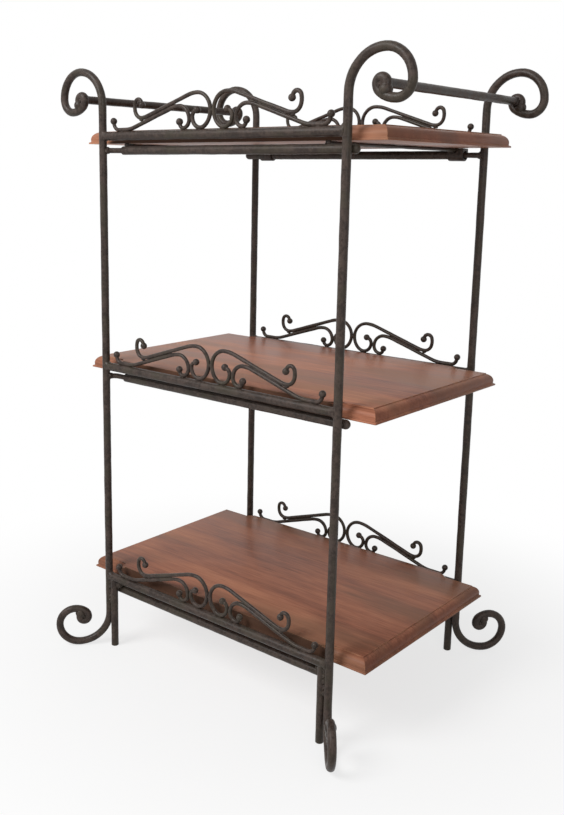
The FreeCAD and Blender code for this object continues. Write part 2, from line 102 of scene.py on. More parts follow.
# Painted light: each board's colour made lighter or darker for the light on its tier, and how far its figure
# is moved from the next board's
TIER_PAINTED_LIGHT = {"bottom": 0.93, "middle": 1.13, "top": 1.0}
FIGURE_STEP = Vector((1.37, 0.61, 0.23))

LAMP_SIZE = 1.6
LAMP_TARGET = Vector((0, 0, 0.45))
KEY_PLACE = Vector((-0.8, -2.2, 2.3))
FILL_PLACE = Vector((2.4, -1.8, 1.4))
FLOOR_REACH = 9.0


def centre(node):
    """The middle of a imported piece's box."""
    low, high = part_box(node)
    return (Vector(low) + Vector(high)) / 2


def extent(node):
    """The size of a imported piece's box."""
    low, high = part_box(node)
    return Vector(high) - Vector(low)


def bar_radius():
    """Uprights, rails, lower bars, legs and handles are all of one bar."""
    return extent("handle_left").x / 2


# ---------------------------------------------------------------- properties
def length(name, default, description):
    return bpy.props.FloatProperty(
        name=name, default=default, description=description, unit="LENGTH", min=0.0, precision=4
    )


def angle(name, degrees, description):
    return bpy.props.FloatProperty(
        name=name, default=math.radians(degrees), description=description, subtype="ANGLE", min=0.0
    )


def colour(name, default, description):
    return bpy.props.FloatVectorProperty(
        name=name, default=default, description=description, subtype="COLOR", size=3, min=0.0, max=1.0
    )


def factor(name, default, description):
    return bpy.props.FloatProperty(name=name, default=default, description=description, min=0.0, max=1.0)


def watts(name, default, description):
    return bpy.props.FloatProperty(name=name, default=default, description=description, unit="POWER", min=0.0)


class RackBarSizes(bpy.types.PropertyGroup):
    """The plain bars and how they are joined."""

    post_x: length("Upright X", 0.224, "Middle of the rack to an upright, along the boards")
    pitch: length("Ring pitch", RING_PITCH, "Space between the rings of a bar's mesh")
    dent: length("Hammer marks", 0.00028, "Depth of the uneven forged surface")
    swell: length("Swell", 0.00045, "Forged fullness of the rails and lower bars, added to their radius")
    fillet_reach: length("Fillet reach", 0.008, "Weld fillet along a rail, from the upright's surface")
    fillet_rise: length("Fillet rise", 0.0045, "Weld fillet up and down the upright")
    spigot: length("Spigot", 0.008, "Diameter of the spigots")
    spigot_bend: length("Spigot bend", 0.010, "Bend radius of a spigot's centre line")
    spigot_reach: length("Spigot reach", 0.053, "Upright to the spigot's end")
    bore: length("Bore", 0.0084, "Bore in the open end of a lower bar")
    bore_depth: length("Bore depth", 0.025, "Depth of that bore")
    board_edge: length("Board edge", 0.0005, "Rounding of the boards' sharp edges")
    weld: length("Weld", 0.007, "Thickness of a weld between two bars")
    leg_weld: length("Leg weld", 0.042, "Length of the weld between a leg and its upright")


class RackUprightSizes(bpy.types.PropertyGroup):
    """The corner uprights with a scroll at each end: bends that follow one another."""

    joint: length("Joint", 0.4755, "Height where an upright's two halves meet")
    bend_high: length("High bend", 0.8765, "The upright is straight up to here")
    bend_low: length("Low bend", 0.056, "And straight down to here")
    foot_splay: angle("Foot splay", 50, "Foot scroll, turned out from the line of the boards")
    neck: length("Neck", 0.050, "Radius of the bend away from the upright")
    crown_sweep: length("Crown sweep", 0.0388, "Radius of the outer sweep at the top")
    crown_return: length("Crown return", 0.0205, "Radius of the return under it")
    crown_flat: length("Crown flat", 0.0397, "Radius of the flat run to the coil")
    foot_sweep: length("Foot sweep", 0.0325, "Radius of the outer sweep at the foot")
    foot_return: length("Foot return", 0.026, "Radius of the return over it")
    foot_flat: length("Foot flat", 0.0275, "Radius of the flat run to the coil")
    coil: length("Coil", 0.012, "Radius of the coil's side")
    eye: length("Eye", 0.007, "Radius of the coil's eye")
    quarter: angle("Quarter", 90, "Turn of the neck, the sweep and the return")
    flat_turn: angle("Flat turn", 36, "Turn of the flat run")
    coil_turn: angle("Coil turn", 54, "Turn of the coil's side")
    eye_turn: angle("Eye turn", 190, "Turn of the eye")
    knob: length("Knob", 0.017, "Diameter of the knob that fills the eye")


class RackGallerySizes(bpy.types.PropertyGroup):
    """The large and the small scroll of the galleries."""

    rod: length("Rod", 0.0058, "Diameter of the gallery rod")
    ball: length("Ball", 0.0102, "Diameter of the ball on each end")
    weld: length("Weld", 0.0042, "Thickness of a weld on the gallery")
    run_weld: length("Run weld", 0.050, "Length of the weld between the straight runs")
    slope: angle("Slope", 18, "Fall of the straight runs")
    large_offset: length("Large offset", 0.02215, "Middle of the rack to the large scroll's foot")
    large_eye: length("Large eye", 0.008, "Radius of the inner end")
    large_eye_turn: angle("Large eye turn", 70, "Turn of the inner end")
    large_foot: length("Large foot", 0.015, "Radius of the foot on the rail")
    large_rise: angle("Large rise", 35, "Turn of the foot, outward of its lowest point")
    large_loop: length("Large loop", 0.0245, "Radius of the inner loop")
    large_crest: length("Large crest", 0.060, "Radius of the crest")
    large_run: length("Large run", 0.0865, "Straight run")
    large_heel: length("Large heel", 0.035, "Radius at the foot of the outer hook")
    large_hook: length("Large hook", 0.0135, "Radius of the hook's lower part")
    large_hook_turn: angle("Large hook turn", 75, "Turn of the hook's lower part")
    large_side: length("Large side", 0.022, "Radius of the hook's side")
    large_side_turn: angle("Large side turn", 30, "Turn of the hook's side")
    large_end: length("Large end", 0.007, "Radius of the outer end")
    large_end_turn: angle("Large end turn", 145, "Turn of the outer end")
    small_offset: length("Small offset", 0.0548, "Middle of the rack to the small scroll's foot")
    small_eye: length("Small eye", 0.006, "Radius of the inner end")
    small_eye_turn: angle("Small eye turn", 75, "Turn of the inner end")
    small_foot: length("Small foot", 0.0116, "Radius of the foot on the rail")
    small_loop: length("Small loop", 0.01865, "Radius of the inner loop")
    small_crest: length("Small crest", 0.050, "Radius of the crest")
    small_heel: length("Small heel", 0.060, "Radius where the run settles on the rail")
    small_flat: length("Small flat", 0.016, "Flat stretch along the rail")
    small_end: length("Small end", 0.010, "Radius of the outer end")
    small_end_turn: angle("Small end turn", 80, "Turn of the outer end")


class RackFinishColours(bpy.types.PropertyGroup):
    """Colours of the lacquered iron and of the wood."""

    iron_dark: colour("Dark iron", (0.029, 0.020, 0.016), "Hollows and the greater part of the lacquer")
    iron_light: colour("Light iron", (0.062, 0.044, 0.036), "Rubbed parts of the lacquer")
    iron_green: colour("Green iron", (0.044, 0.037, 0.024), "Faint olive cast in patches")
    wood_dark: colour("Dark wood", (0.130, 0.045, 0.028), "Darkest streaks of the figure")
    wood_mid: colour("Middle wood", (0.320, 0.126, 0.074), "Most of the board")
    wood_light: colour("Light wood", (0.480, 0.215, 0.125), "Lightest streaks of the figure")
    wood_olive: colour("Olive wood", (0.190, 0.100, 0.062), "Faint olive cast in patches")
    # Painted shade: the colour of the rails' shadow on the boards' long edges between the uprights
    wood_rail_shadow: colour("Painted rail shadow", (0.066, 0.036, 0.024), "Long edges behind the rails")
    wood_worn: colour("Worn wood", (0.500, 0.270, 0.145), "Rubbed corners and edges")


class RackStageSettings(bpy.types.PropertyGroup):
    """Camera, floor and light."""

    camera: bpy.props.FloatVectorProperty(
        name="Camera", default=(0.91504, -1.18075, 0.77706), unit="LENGTH", description="Place of the camera"
    )
    turn: bpy.props.FloatVectorProperty(
        name="Turn",
        default=tuple(math.radians(a) for a in (78.6451, -0.7619, 40.7375)),
        subtype="EULER",
        description="Turn of the camera",
    )
    lens: bpy.props.FloatProperty(name="Lens", default=42.509, description="Focal length in millimetres")
    shift: bpy.props.FloatVectorProperty(
        name="Shift", default=(0.0500, -0.0493), size=2, description="Shift of the lens, as part of the width"
    )
    floor: colour("Floor", (0.86, 0.86, 0.86), "Colour of the floor")
    key: watts("Key lamp", 68, "Power of the lamp in front")
    fill: watts("Fill lamp", 18, "Power of the lamp at the side")
    room: factor("Room light", 0.32, "Strength of the light from all round")


# ---------------------------------------------------------------- node trees
class NodeTree:
    """A node tree with short calls to add and join nodes."""

    def __init__(self, tree):
        self.tree = tree

    def fill(self, socket, value):
        """Link an output to a socket, or set the socket's own value."""
        if isinstance(value, bpy.types.NodeSocket):
            self.tree.links.new(value, socket)
        elif socket.type == "RGBA" and len(value) == 3:
            socket.default_value = (*value, 1.0)
        else:
            socket.default_value = value

    def add(self, kind, inputs=None, **settings):
        """A new node, its inputs given by name or number."""
        node = self.tree.nodes.new(kind)
        for name, value in settings.items():
            setattr(node, name, value)
        for name, value in (inputs or {}).items():
            self.fill(node.inputs[name], value)
        return node

    def ramp(self, value, stops):
        """A colour ramp through stops, each a place and its colour."""
        node = self.add("ShaderNodeValToRGB", {"Fac": value})
        elements = node.color_ramp.elements
        while len(elements) < len(stops):
            elements.new(0.5)
        for element, (place, shade) in zip(elements, stops):
            element.position = place
            element.color = (*shade, 1.0)
        return node.outputs["Color"]

    def mix(self, share, first, second, blend="MIX"):
        """Two colours mixed by the share of the second; inputs 0, 6 and 7 are the ones for colours."""
        inputs = {0: share, 6: first, 7: second}
        return self.add("ShaderNodeMix", inputs, data_type="RGBA", blend_type=blend).outputs[2]

    def math(self, operation, *values):
        node = self.add("ShaderNodeMath", operation=operation)
        for socket, value in zip(node.inputs, values):
            self.fill(socket, value)
        return node.outputs[0]

    def sum_of(self, *shares):
        """The sum of values, each given with its share."""
        total = 0.0
        for value, share in shares:
            total = self.math("MULTIPLY_ADD", value, share, total)
        return total

    def between(self, value, low, high, to_low=0.0, to_high=1.0):
        """A smooth step from to_low at low to to_high at high."""
        span = {"Value": value, "From Min": low, "From Max": high, "To Min": to_low, "To Max": to_high}
        return self.add("ShaderNodeMapRange", span, interpolation_type="SMOOTHSTEP").outputs["Result"]

    def sizes_of(self, vector):
        """The size of a vector along each axis, whatever its sign."""
        parts = self.add("ShaderNodeSeparateXYZ", {0: vector}).outputs
        return [self.math("ABSOLUTE", part) for part in parts]

    def stretched(self, place, scale):
        return self.add("ShaderNodeMapping", {"Vector": place, "Scale": scale}).outputs[0]

    def noise(self, place, scale, detail=3.0, roughness=0.5, distortion=0.0):
        inputs = {"Vector": place, "Scale": scale, "Detail": detail, "Roughness": roughness}
        inputs["Distortion"] = distortion
        return self.add("ShaderNodeTexNoise", inputs).outputs["Fac"]

    def bump(self, height, strength, distance):
        inputs = {"Height": height, "Strength": strength, "Distance": distance}
        return self.add("ShaderNodeBump", inputs).outputs["Normal"]


def new_group(name, inputs, outputs):
    """An empty node group with its sockets, each given as its name and kind."""
    tree = bpy.data.node_groups.new(name, "ShaderNodeTree")
    for way, sockets in (("INPUT", inputs), ("OUTPUT", outputs)):
        for title, kind in sockets.items():
            tree.interface.new_socket(title, in_out=way, socket_type=f"NodeSocket{kind}")
    nodes = NodeTree(tree)
    return tree, nodes, nodes.add("NodeGroupInput").outputs, nodes.add("NodeGroupOutput").inputs


def new_material(name):
    material = bpy.data.materials.new(name)
    material.use_nodes = True
    material.node_tree.nodes.clear()
    return material, NodeTree(material.node_tree)


def finish_material(nodes, shader):
    nodes.add("ShaderNodeOutputMaterial", {"Surface": shader.outputs[0]})


def forge_marks():
    """Mottle and height of a hand-worked, lacquered iron surface."""
    outputs = {"Mottle": "Float", "Height": "Float"}
    tree, nodes, given, made = new_group("forge marks", {"Place": "Vector"}, outputs)
    place = given["Place"]
    broad = nodes.noise(place, scale=60.0, roughness=0.6)
    blotch = nodes.noise(place, scale=230.0, roughness=0.6)
    grain = nodes.noise(place, scale=620.0, detail=4.0, roughness=0.65)
    cells = {"Vector": place, "Scale": 140.0}
    facets = nodes.add("ShaderNodeTexVoronoi", cells, feature="SMOOTH_F1").outputs[0]
    patchy = nodes.sum_of((broad, 0.38), (blotch, 0.40), (grain, 0.22))
    nodes.fill(made["Mottle"], nodes.between(patchy, 0.43, 0.58))
    nodes.fill(made["Height"], nodes.sum_of((grain, 0.3), (blotch, 0.4), (facets, 0.3)))
    return tree


def iron_finish(name, marks, colours, gloss):
    """Satin black-brown lacquer; gloss is its lowest and highest roughness."""
    _, nodes = new_material(name)
    place = nodes.add("ShaderNodeTexCoord").outputs["Object"]
    forged = nodes.add("ShaderNodeGroup", {"Place": place}, node_tree=marks)
    tone = nodes.mix(forged.outputs["Mottle"], colours.iron_dark, colours.iron_light)
    olive = nodes.between(nodes.noise(place, scale=26.0, detail=2.0), 0.46, 0.66, 0.0, 0.55)
    tone = nodes.mix(olive, tone, colours.iron_green)
    shader = nodes.add(
        "ShaderNodeBsdfPrincipled",
        {
            "Base Color": tone,
            "Roughness": nodes.between(forged.outputs["Mottle"], 0.0, 1.0, *gloss),
            "Specular IOR Level": 0.20,
            "Normal": nodes.bump(forged.outputs["Height"], strength=0.6, distance=0.0008),
        },
    )
    finish_material(nodes, shader)


def wood_grain():
    """Figure, fine pores, olive patches and height of a plank sawn along X."""
    outputs = {"Figure": "Float", "Pores": "Float", "Patches": "Float", "Height": "Float"}
    tree, nodes, given, made = new_group("wood grain", {"Place": "Vector"}, outputs)
    place = given["Place"]
    boards = nodes.stretched(place, (1.4, 5.5, 5.5))
    streaks = nodes.stretched(place, (2.6, 62.0, 62.0))
    fibres = nodes.stretched(place, (16.0, 330.0, 330.0))
    pores = nodes.stretched(place, (30.0, 620.0, 620.0))
    broad = nodes.noise(boards, scale=2.2, distortion=0.7)
    streak = nodes.noise(streaks, scale=1.6, detail=4.0, roughness=0.6, distortion=0.3)
    fibre = nodes.noise(fibres, scale=1.5, roughness=0.6)
    pore = nodes.between(nodes.noise(pores, scale=1.0, detail=2.0), 0.60, 0.74)
    patch = nodes.between(nodes.noise(boards, scale=1.7, roughness=0.55), 0.44, 0.62)
    nodes.fill(made["Figure"], nodes.sum_of((broad, 0.46), (streak, 0.27), (fibre, 0.27)))
    nodes.fill(made["Pores"], pore)
    nodes.fill(made["Patches"], patch)
    nodes.fill(made["Height"], nodes.sum_of((fibre, 0.5), (pore, -0.5)))
    return tree


def wood_finish(name, grain, colours, shift, painted_light):
    """Red-brown lacquered wood; shift moves the figure so that no two boards are alike.

    The ends are darker, the long edges darkened between the uprights with a painted shadow of the rails, and
    the sharp edges rubbed.
    """
    _, nodes = new_material(name)
    place = nodes.add("ShaderNodeTexCoord").outputs["Object"]
    moved = nodes.add("ShaderNodeMapping", {"Vector": place, "Location": shift}).outputs[0]
    sawn = nodes.add("ShaderNodeGroup", {"Place": moved}, node_tree=grain)
    stops = ((0.35, colours.wood_dark), (0.50, colours.wood_mid), (0.65, colours.wood_light))
    tone = nodes.ramp(sawn.outputs["Figure"], stops)
    tone = nodes.mix(nodes.math("MULTIPLY", sawn.outputs["Pores"], 0.35), tone, colours.wood_dark)
    tone = nodes.mix(nodes.math("MULTIPLY", sawn.outputs["Patches"], 0.6), tone, colours.wood_olive)
    # Painted light: the whole board lightened or darkened for the light that its tier gets
    tone = nodes.mix(1.0, tone, (painted_light,) * 3, "MULTIPLY")
    facing = nodes.add("ShaderNodeNewGeometry").outputs["Normal"]
    turned_x, turned_y, _ = nodes.sizes_of(facing)
    end_grain = nodes.between(turned_x, 0.35, 0.95, 0.0, 0.58)
    tone = nodes.mix(end_grain, tone, colours.wood_dark)
    at_x, at_y, _ = nodes.sizes_of(place)
    # Painted shade: the long edges, and the board just beside them, darkened between the uprights where the
    # rails shade them
    long_edge = nodes.between(turned_y, 0.2, 0.7)
    beside_edge = nodes.between(at_y, 0.156, 0.167, 0.0, 0.45)
    behind_rail = nodes.between(at_x, 0.212, 0.228, 0.9, 0.0)
    rail_shadow_mask = nodes.math("MULTIPLY", nodes.math("MAXIMUM", long_edge, beside_edge), behind_rail)
    tone = nodes.mix(rail_shadow_mask, tone, colours.wood_rail_shadow)
    rounded = nodes.add("ShaderNodeBevel", {"Radius": 0.0018}, samples=6).outputs[0]
    normals = {0: rounded, 1: facing}
    alike = nodes.add("ShaderNodeVectorMath", normals, operation="DOT_PRODUCT").outputs["Value"]
    worn = nodes.between(alike, 0.995, 0.90, 0.0, 0.5)
    rubbed = nodes.math("MULTIPLY", worn, nodes.between(nodes.noise(place, scale=60.0), 0.35, 0.6))
    tone = nodes.mix(rubbed, tone, colours.wood_worn)
    shader = nodes.add(
        "ShaderNodeBsdfPrincipled",
        {
            "Base Color": tone,
            "Roughness": nodes.between(sawn.outputs["Figure"], 0.35, 0.65, 0.30, 0.44),
            "Specular IOR Level": 0.08,
            "Normal": nodes.bump(sawn.outputs["Height"], strength=0.25, distance=0.0003),
        },
    )
    finish_material(nodes, shader)


# ---------------------------------------------------------------- bent bars
class Rod:
    """A round bar that grows ring by ring, by straight runs, bends, knobs and fillets.

    place is the middle of its last ring, ahead the way it grows, and side the way it bends.
    """

    def __init__(self, mesh, place, ahead, side, radius, sides=BAR_SIDES, pitch=RING_PITCH):
        self.mesh, self.radius, self.pitch = mesh, radius, pitch
        self.place, self.ahead, self.side = Vector(place), Vector(ahead), Vector(side)
        matrix = Matrix.Translation(self.place) @ self.ahead.to_track_quat("Z", "Y").to_matrix().to_4x4()
        self.ring = bmesh.ops.create_circle(mesh, segments=sides, radius=radius, matrix=matrix)["verts"]
        self.first = (self.ring, self.place.copy(), self.ahead.copy(), radius)

    def turn_round(self, side):
        """Go on from the first ring, the other way."""
        self.ring, self.place, ahead, self.radius = self.first
        self.ahead, self.side = -ahead, Vector(side)

    def rim(self):
        """The edges of the last ring."""
        ring = set(self.ring)
        edges = [edge for vert in self.ring for edge in vert.link_edges if edge.other_vert(vert) in ring]
        return list(dict.fromkeys(edges))

    def step(self, distance, radius=None, axis=None):
        """One more ring, scaled to a radius all round or along one axis only."""
        made = bmesh.ops.extrude_edge_only(self.mesh, edges=self.rim())["geom"]
        self.ring = [item for item in made if isinstance(item, bmesh.types.BMVert)]
        bmesh.ops.translate(self.mesh, verts=self.ring, vec=self.ahead * distance)
        self.place = self.place + self.ahead * distance
        if radius is not None:
            growth = radius / self.radius - 1
            scale = Vector([1 + growth * abs(part) for part in axis or (1, 1, 1)])
            bmesh.ops.scale(self.mesh, verts=self.ring, vec=scale, space=Matrix.Translation(-self.place))
            self.radius = radius

    def run(self, distance):
        """A straight run."""
        count = max(1, round(distance / self.pitch))
        for _ in range(count):
            self.step(distance / count)

    def bend(self, radius, turn, way=1):
        """A bend towards side, or away from it where way is -1."""
        axis = self.ahead.cross(self.side) * way
        middle = self.place + self.side * radius * way
        count = max(2, round(max(turn / RING_TURN, radius * turn / self.pitch)))
        made = bmesh.ops.spin(
            self.mesh,
            geom=self.ring + self.rim(),
            cent=middle,
            axis=axis,
            dvec=(0, 0, 0),
            angle=turn,
            steps=count,
            use_merge=False,
            use_normal_flip=False,
            use_duplicate=False,
        )
        self.ring = [item for item in made["geom_last"] if isinstance(item, bmesh.types.BMVert)]
        spun = Matrix.Rotation(turn, 3, axis)
        self.place = middle + spun @ (self.place - middle)
        self.ahead, self.side = spun @ self.ahead, spun @ self.side

    def knob(self, radius, steps=9, tip=0.02):
        """A ball that swallows the end of the bar; its last ring, a tip wide, is merged to a point."""
        start = math.asin(self.radius / radius)
        along = -radius * math.cos(start)
        for number in range(1, steps + 1):
            turn = start + (math.pi - start) * number / steps
            reach = -radius * math.cos(turn)
            self.step(reach - along, radius * max(math.sin(turn), tip))
            along = reach
        bmesh.ops.pointmerge(self.mesh, verts=self.ring, merge_co=self.place)

    def fillet(self, reach, rise, axis, steps=5, hollow=2.2):
        """A weld fillet that rises along axis before the bar meets another; hollow bends it inwards."""
        base = self.radius
        for number in range(1, steps + 1):
            self.step(reach / steps, base + rise * (number / steps) ** hollow, axis)

    def cut(self, bevel=BROKEN_EDGE):
        """A square end with its edge just broken."""
        self.step(bevel, self.radius - bevel)
        bmesh.ops.edgeloop_fill(self.mesh, edges=self.rim())

    def bored_cut(self, radius, depth, bevel=BROKEN_EDGE):
        """A square end with a blind bore."""
        self.step(bevel, self.radius - bevel)
        self.step(0, radius)
        self.step(-depth)
        bmesh.ops.edgeloop_fill(self.mesh, edges=self.rim())


def straight_bar(mesh, start, end, radius, sides=BAR_SIDES, pitch=RING_PITCH, bevel=BROKEN_EDGE):
    """A plain bar between two points, the edges of its ends just broken."""
    ahead = (end - start).normalized()
    rod = Rod(mesh, start + ahead * bevel, ahead, ahead.orthogonal(), radius, sides, pitch)
    rod.run((end - start).length - 2 * bevel)
    rod.cut(bevel)
    rod.turn_round(ahead.orthogonal())
    rod.cut(bevel)


# ---------------------------------------------------------------- pieces
def hammer(mesh, depth):
    """Shallow unevenness all over, as forging leaves it."""
    bmesh.ops.recalc_face_normals(mesh, faces=mesh.faces)
    mesh.normal_update()
    for vert in mesh.verts:
        uneven = noise.noise(vert.co * BROAD_MARKS) + FINE_MARK_SHARE * noise.noise(vert.co * FINE_MARKS)
        vert.co += vert.normal * depth * uneven


def shade(mesh, sharp=math.radians(38)):
    """Smooth faces, with edges kept sharp where they turn by more than sharp."""
    for face in mesh.faces:
        face.smooth = True
    for edge in mesh.edges:
        edge.smooth = edge.calc_face_angle(0.0) < sharp


def add_object(name, data):
    placed = bpy.data.objects.new(name, data)
    bpy.context.scene.collection.objects.link(placed)
    return placed


def add_mesh(name, mesh, material):
    """An object of a finished bmesh, in its material."""
    data = bpy.data.meshes.new(name)
    mesh.to_mesh(data)
    mesh.free()
    data.materials.append(material)
    return add_object(name, data)


def new_piece(name, mesh, material, slot, body, *replaced):
    """Make a finished bmesh a piece of the rack."""
    shade(mesh)
    piece = add_mesh(name, mesh, material)
    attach(piece, body)
    if replaced:
        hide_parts(*replaced)


def iron_piece(name, mesh, *replaced, slot="iron"):
    """A forged piece of the frame, with its hammer marks."""
    hammer(mesh, bpy.context.scene.rack_bars.dent)
    new_piece(name, mesh, bpy.data.materials[f"lacquered_{slot}"], slot, FRAME_BODY, *replaced)


def bead(mesh, place, size, stretch=1.0):
    """A lump of weld about as thick as size, stretched along X."""
    matrix = Matrix.Translation(place) @ Matrix.Diagonal((size * stretch, size, size, 1.0))
    made = bmesh.ops.create_icosphere(mesh, subdivisions=3, radius=0.5, matrix=matrix)
    for vert in made["verts"]:
        swell = 1 + WELD_UNEVENNESS * noise.noise(vert.co * WELD_LUMPS)
        vert.co = place + (vert.co - place) * swell


def softened_copy(node, width, flat=math.radians(0.4), sharp=math.radians(24)):
    """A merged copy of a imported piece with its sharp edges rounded."""
    mesh = bmesh.new()
    mesh.from_mesh(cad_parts[node].data)
    bmesh.ops.remove_doubles(mesh, verts=mesh.verts, dist=0.00001)
    bmesh.ops.dissolve_limit(mesh, angle_limit=flat, verts=mesh.verts, edges=mesh.edges)
    bmesh.ops.bevel(
        mesh,
        geom=[edge for edge in mesh.edges if edge.calc_face_angle(0.0) > sharp],
        offset=width,
        offset_type="OFFSET",
        affect="EDGES",
        segments=3,
        profile=0.5,
        material=-1,
        clamp_overlap=True,
    )
    return mesh


class RACK_OT_finishes(bpy.types.Operator):
    """Make the iron and wood materials"""

    bl_idname = "rack.finishes"
    bl_label = "Finishes"

    def execute(self, context):
        colours = context.scene.rack_colours
        marks, grain = forge_marks(), wood_grain()
        iron_finish("lacquered_iron", marks, colours, BAR_GLOSS)
        iron_finish("lacquered_scrollwork", marks, colours, SCROLL_GLOSS)
        for number, tier in enumerate(TIERS):
            wood_finish(f"wood_{tier}", grain, colours, FIGURE_STEP * number, TIER_PAINTED_LIGHT[tier])
        return {"FINISHED"}


class RACK_OT_uprights(bpy.types.Operator):
    """Forge the four uprights with their crown and foot scrolls"""

    bl_idname = "rack.uprights"
    bl_label = "Uprights"

    def execute(self, context):
        sizes, bars = context.scene.rack_uprights, context.scene.rack_bars
        along, across = math.cos(sizes.foot_splay), math.sin(sizes.foot_splay)
        for side, y_sign in SIDES.items():
            post_y = centre(f"rail_top_{side}").y
            for end, x_sign in ENDS.items():
                mesh = bmesh.new()
                crown_out = X_AXIS * x_sign
                foot_out = Vector((along * x_sign, across * y_sign, 0))
                start = Vector((bars.post_x * x_sign, post_y, sizes.joint))
                rod = Rod(mesh, start, Z_AXIS, crown_out, bar_radius(), pitch=bars.pitch)
                rod.run(sizes.bend_high - sizes.joint)
                crown_eye = self.volute(rod, sizes, sizes.crown_sweep, sizes.crown_return, sizes.crown_flat)
                rod.turn_round(foot_out)
                rod.run(sizes.joint - sizes.bend_low)
                foot_eye = self.volute(rod, sizes, sizes.foot_sweep, sizes.foot_return, sizes.foot_flat)
                for eye in (crown_eye, foot_eye):
                    bead(mesh, eye, sizes.eye * EYE_WELD)
                iron_piece(f"upright_{side}_{end}", mesh, f"post_{side}_{end}")
        return {"FINISHED"}

    def volute(self, rod, sizes, sweep, back, flat):
        """One scroll, from its neck to its knob; gives the middle of its eye."""
        rod.bend(sizes.neck, sizes.quarter)
        rod.bend(sweep, sizes.quarter)
        rod.bend(back, sizes.quarter)
        rod.bend(flat, sizes.flat_turn)
        rod.bend(sizes.coil, sizes.coil_turn)
        eye = rod.place + rod.side * sizes.eye
        rod.bend(sizes.eye, sizes.eye_turn)
        rod.knob(sizes.knob / 2)
        return eye


class RACK_OT_bars(bpy.types.Operator):
    """Lay the rails, the lower bars, the legs and the handles"""

    bl_idname = "rack.bars"
    bl_label = "Bars"

    def execute(self, context):
        bars = context.scene.rack_bars
        bar_r = bar_radius()
        full_r = bar_r + bars.swell
        for side in SIDES:
            for tier in TIERS:
                self.rail(bars, full_r, tier, side)
            for tier in TIERS[1:]:
                self.nosed_bar(bars, full_r, tier, side)
            self.plain(f"bar_bottom_{side}", X_AXIS, full_r, bars.pitch)
            for end in ENDS:
                self.plain(f"leg_{side}_{end}", Z_AXIS, bar_r, bars.pitch)
        for end in ENDS:
            self.plain(f"handle_{end}", Y_AXIS, bar_r, bars.pitch)
        return {"FINISHED"}

    def rail(self, bars, bar_r, tier, side):
        """Its weld fillets reach up and down the uprights and end inside them."""
        mesh = bmesh.new()
        node = f"rail_{tier}_{side}"
        rod = Rod(mesh, centre(node), X_AXIS, Y_AXIS, bar_r, pitch=bars.pitch)
        for other_way in (False, True):
            if other_way:
                rod.turn_round(Y_AXIS)
            rod.run(bars.post_x - extent(node).z / 4 - bars.fillet_reach)
            rod.fillet(bars.fillet_reach, bars.fillet_rise, Z_AXIS)
            rod.cut()
        iron_piece(f"{node}_bar", mesh, node)

    def plain(self, node, axis, bar_r, pitch):
        """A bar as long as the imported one, with square ends."""
        mesh = bmesh.new()
        half = axis * (extent(node).dot(axis) / 2)
        straight_bar(mesh, centre(node) - half, centre(node) + half, bar_r, pitch=pitch)
        iron_piece(f"{node}_rod", mesh, node)

    def nosed_bar(self, bars, bar_r, tier, side):
        """The nose points along +X on the front bars and along -X on the back ones."""
        mesh = bmesh.new()
        node = f"bar_{tier}_{side}"
        ahead = X_AXIS * -SIDES[side]
        half = extent(node).x / 2
        rod = Rod(mesh, centre(node) - ahead * half, ahead, Y_AXIS, bar_r, pitch=bars.pitch)
        rod.run(half * 2 - bar_r)
        rod.knob(bar_r * HEMISPHERE)
        rod.turn_round(Y_AXIS)
        rod.bored_cut(bars.bore / 2, bars.bore_depth)
        iron_piece(f"{node}_tube", mesh, node)


class RACK_OT_spigots_and_ties(bpy.types.Operator):
    """Bend the cranked spigots and lay the cross ties"""

    bl_idname = "rack.spigots_and_ties"
    bl_label = "Spigots and Ties"

    def execute(self, context):
        bars = context.scene.rack_bars
        for tier in TIERS[1:]:
            mesh = bmesh.new()
            for side, end in (("front", "left"), ("back", "right")):
                self.spigot(mesh, bars, tier, side, end)
            iron_piece(f"spigots_{tier}_rods", mesh, f"spigots_{tier}")
        for tier in TIERS:
            mesh = bmesh.new()
            node = f"ties_{tier}"
            span = extent(node)
            tie_r = span.z / 2
            for x_sign in ENDS.values():
                middle = centre(node) + X_AXIS * (span.x / 2 - tie_r) * x_sign
                half = Y_AXIS * (span.y / 2)
                straight_bar(mesh, middle - half, middle + half, tie_r, sides=16, bevel=FINE_BROKEN_EDGE)
            iron_piece(f"{node}_rods", mesh, node)
        return {"FINISHED"}

    def spigot(self, mesh, bars, tier, side, end):
        """Out of the upright at 45 degrees, then along the lower bar into its bore."""
        low_bar = centre(f"bar_{tier}_{side}")
        post_y = centre(f"rail_{tier}_{side}").y
        inset = abs(post_y - low_bar.y)
        along, across = X_AXIS * -ENDS[end], Y_AXIS * -SIDES[side]
        crank = math.radians(45)
        first = (inset - bars.spigot_bend * (1 - math.cos(crank))) / math.sin(crank)
        start = Vector((bars.post_x * ENDS[end], post_y, low_bar.z))
        ahead = (along + across).normalized()
        rod = Rod(mesh, start, ahead, (along - across).normalized(), bars.spigot / 2, sides=20, pitch=0.003)
        rod.run(first)
        rod.bend(bars.spigot_bend, crank)
        rod.run(bars.spigot_reach - abs(rod.place.x - start.x))
        rod.cut(FINE_BROKEN_EDGE)
        rod.turn_round(X_AXIS)
        rod.cut(FINE_BROKEN_EDGE)


